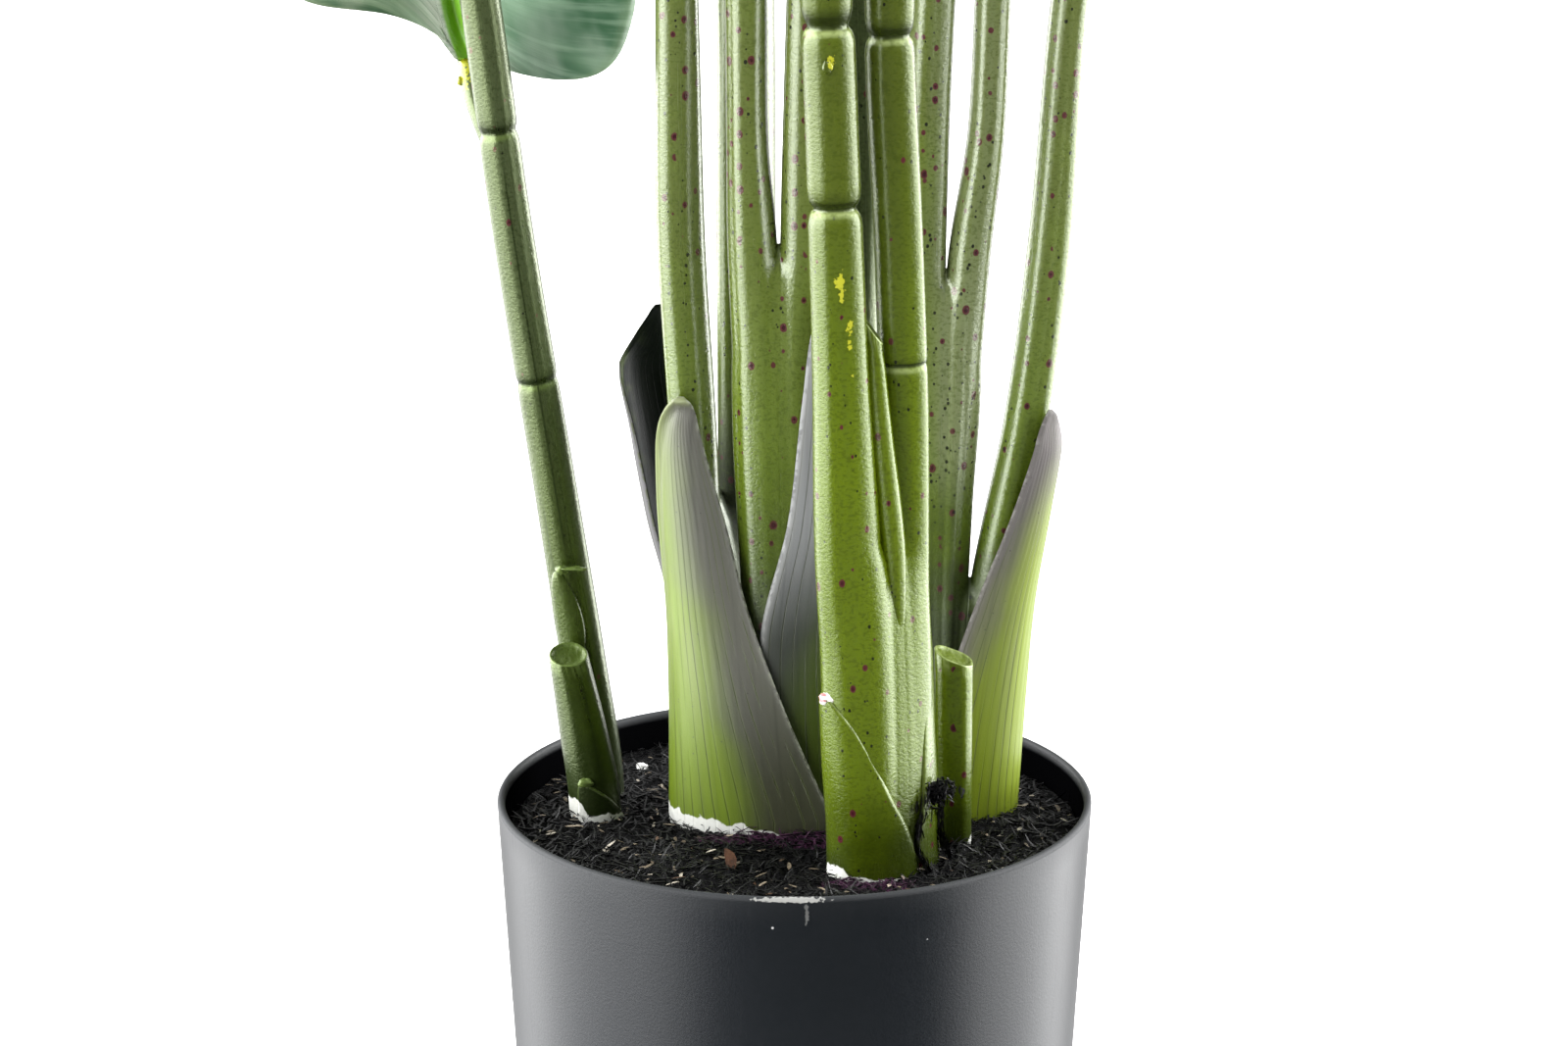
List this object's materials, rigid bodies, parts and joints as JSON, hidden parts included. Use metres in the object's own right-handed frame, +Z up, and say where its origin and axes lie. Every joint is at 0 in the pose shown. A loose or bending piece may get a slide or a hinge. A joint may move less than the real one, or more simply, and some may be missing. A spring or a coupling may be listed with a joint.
{
  "type": "potted artificial banana plant",
  "caption": "Tall moulded banana plant with forked ringed stems, leaf sheaths and arching leaves, standing in a plain tapered pot filled with dark fibre.",
  "frame": {"origin": "middle of the pot's flat bottom", "axes": "+Z up along the pot's axis, the view of the picture looks along +Y with +X to the right"},
  "size_m": [0.8415, 0.7658, 1.3047],
  "materials": {
    "pot": "satin",
    "soil": "matte",
    "pale_stem": "satin",
    "dark_stem": "satin",
    "fresh_stem": "gloss",
    "sheath": "satin",
    "dark_sheath": "satin",
    "leaf": "satin"
  },
  "bodies": {
    "root": {"pot": "pot", "soil": "soil", "stem_left": "dark_stem", "stub_left": "dark_stem", "stem_mid_left": "pale_stem", "stem_centre": "pale_stem", "stem_back": "dark_stem", "stem_front": "fresh_stem", "stub_right": "fresh_stem", "stem_right": "pale_stem", "sheath_left": "sheath", "sheath_right": "sheath", "sheath_centre": "dark_sheath", "sheath_back": "dark_sheath", "leaf_01": "leaf", "leaf_02": "leaf", "leaf_03": "leaf", "leaf_04": "leaf", "leaf_05": "leaf", "leaf_06": "leaf", "leaf_07": "leaf", "leaf_08": "leaf", "leaf_09": "leaf", "leaf_10": "leaf", "leaf_11": "leaf", "leaf_12": "leaf"}
  },
  "joints": []
}
